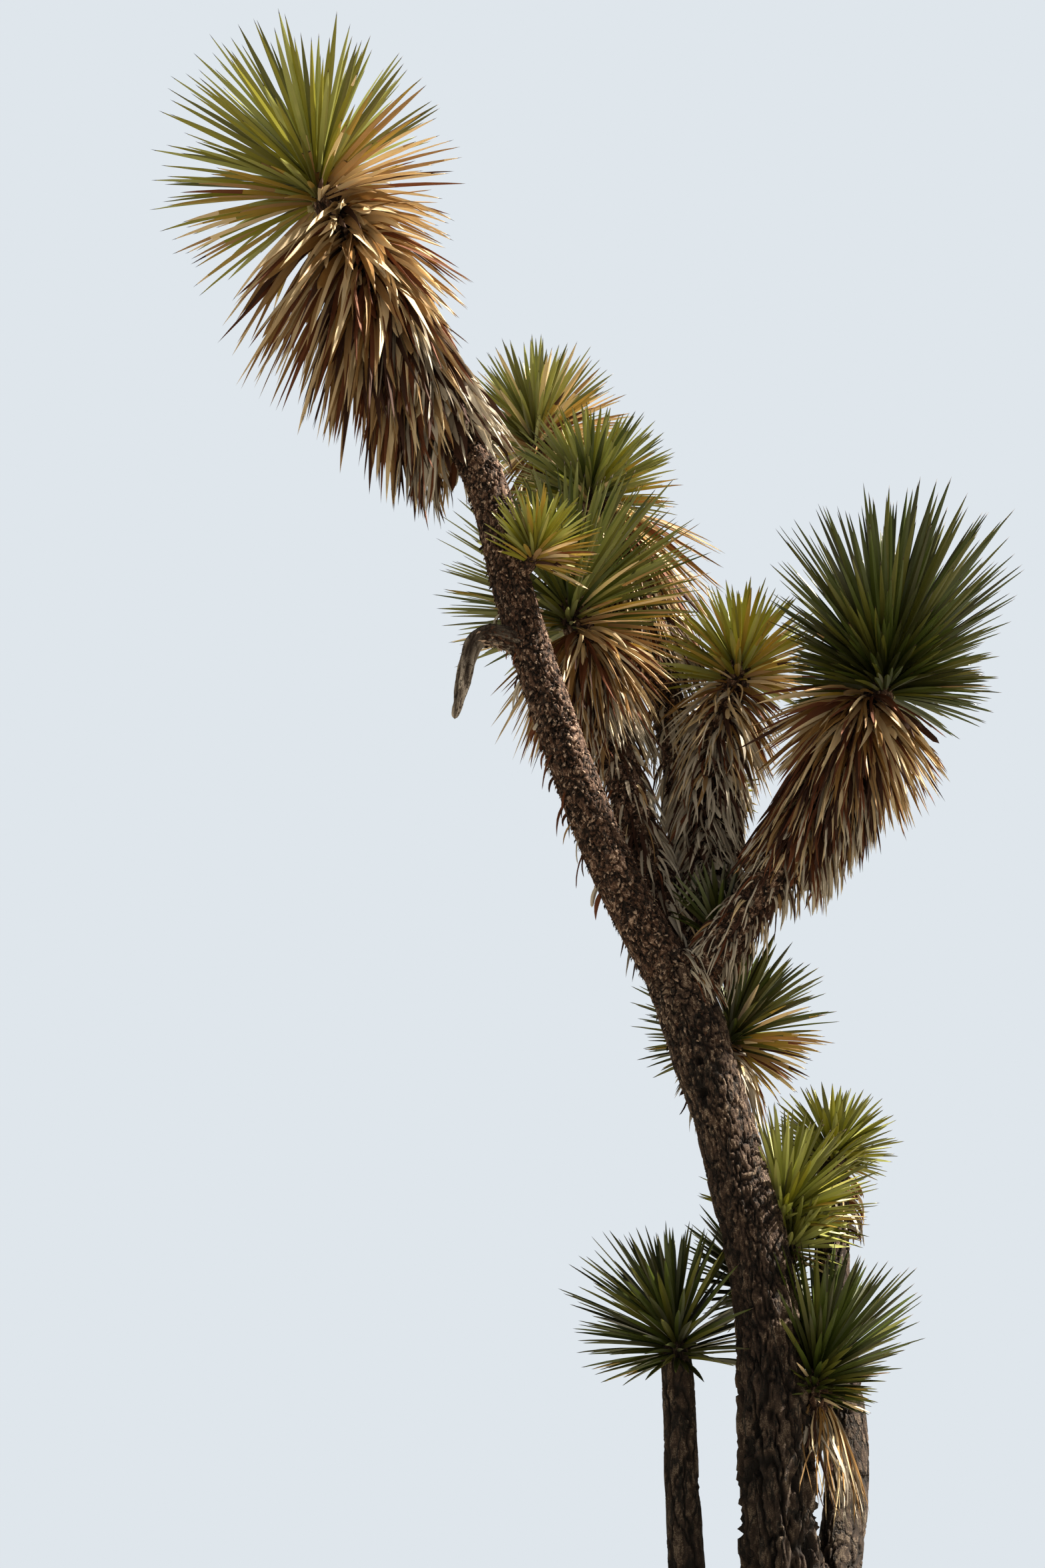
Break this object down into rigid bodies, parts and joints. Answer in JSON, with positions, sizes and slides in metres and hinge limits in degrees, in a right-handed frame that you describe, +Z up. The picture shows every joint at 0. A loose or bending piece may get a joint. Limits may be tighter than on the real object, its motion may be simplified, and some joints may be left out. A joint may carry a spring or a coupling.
{
  "type": "palma china yucca tree",
  "caption": "Leaning, forked tree yucca: bare corky boughs, skirts of dead hanging leaves and rosettes of stiff pointed leaves on every tip.",
  "frame": {"origin": "middle of the flat cut under the trunk, at ground level", "axes": "+Z up, +X to the right and +Y away from the viewer in the picture"},
  "size_m": [2.4032, 1.7135, 5.7097],
  "materials": {
    "bark": "dark corky bark with upright fissures",
    "young_bark": "brown bark, shaggy with old leaf bases",
    "grey_wood": "weathered grey dead wood",
    "living_leaf": "stiff satin leaves, deep green to golden",
    "dead_leaf": "dry matt leaves, straw to grey-brown"
  },
  "bodies": {
    "root": {"trunk": "bark", "left_bough": "young_bark", "right_bough": "young_bark", "front_middle_bough": "young_bark", "back_middle_bough": "young_bark", "right_middle_bough": "young_bark", "upper_middle_bough": "young_bark", "second_bough": "young_bark", "low_bough": "young_bark", "dead_stub": "grey_wood", "left_skirt": "dead_leaf", "right_skirt": "dead_leaf", "front_middle_skirt": "dead_leaf", "back_middle_skirt": "dead_leaf", "right_middle_skirt": "dead_leaf", "upper_middle_skirt": "dead_leaf", "second_skirt": "dead_leaf", "upper_trunk_skirt": "dead_leaf", "lower_trunk_skirt": "dead_leaf", "left_rosette": "living_leaf", "right_rosette": "living_leaf", "front_middle_rosette": "living_leaf", "back_middle_rosette": "living_leaf", "right_middle_rosette": "living_leaf", "upper_middle_rosette": "living_leaf", "second_rosette": "living_leaf", "low_rosette": "living_leaf", "fork_rosette": "living_leaf", "small_front_rosette": "living_leaf", "behind_middle_rosette": "living_leaf", "upper_trunk_rosette": "living_leaf", "middle_trunk_rosette": "living_leaf", "small_trunk_rosette": "living_leaf", "lower_trunk_rosette": "living_leaf", "behind_trunk_rosette": "living_leaf"}
  },
  "joints": []
}
